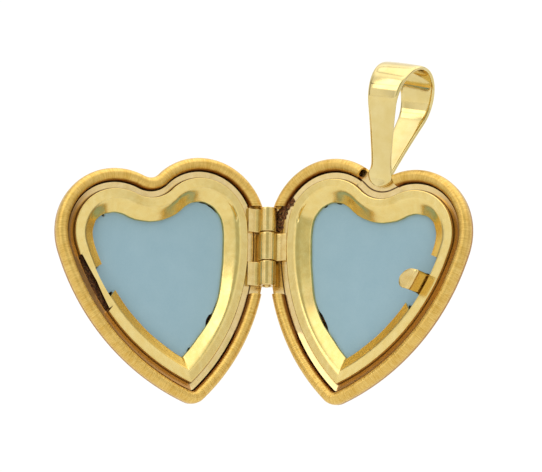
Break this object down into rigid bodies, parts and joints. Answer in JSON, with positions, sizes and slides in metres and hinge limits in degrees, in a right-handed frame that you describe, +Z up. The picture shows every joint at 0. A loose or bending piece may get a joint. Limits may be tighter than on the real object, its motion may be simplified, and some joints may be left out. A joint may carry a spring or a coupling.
{
  "type": "heart locket pendant",
  "caption": "Heart-shaped locket pendant in yellow metal, standing open on its side hinge, with picture frames, a snap catch and a strip bail.",
  "frame": {"origin": "where a chain bears, at the middle of the inner top of the bail's loop", "axes": "+X across the back half, away from the hinge; -Y the way the back half's inner face looks; +Z up the back half, from its point to its bail"},
  "size_m": [0.0194, 0.012, 0.0201],
  "materials": {
    "satin_gold": "satin, fine brush strokes across the rim",
    "polished_gold": "polished",
    "bright_gold": "bright polished",
    "hinge_gold": "polished, with solder stains",
    "card": "matte coloured card"
  },
  "bodies": {
    "back": {"back_shell": "satin_gold", "back_bezel": "satin_gold", "back_frame": "polished_gold", "back_card": "card", "back_hinge_leaf": "hinge_gold", "catch_tongue": "hinge_gold", "bail": "bright_gold"},
    "front": {"front_shell": "satin_gold", "front_bezel": "satin_gold", "front_frame": "polished_gold", "front_card": "card", "front_upper_leaf": "hinge_gold", "front_lower_leaf": "hinge_gold", "hinge_pin": "hinge_gold"}
  },
  "joints": [
    {"name": "hinge", "type": "hinge", "parent": "back", "child": "front", "pos_m": [-0.00582, -0.0006, -0.01022], "axis": [-0.2233, 0, 0.9748], "range_deg": [-23.7, 126.3]}
  ]
}
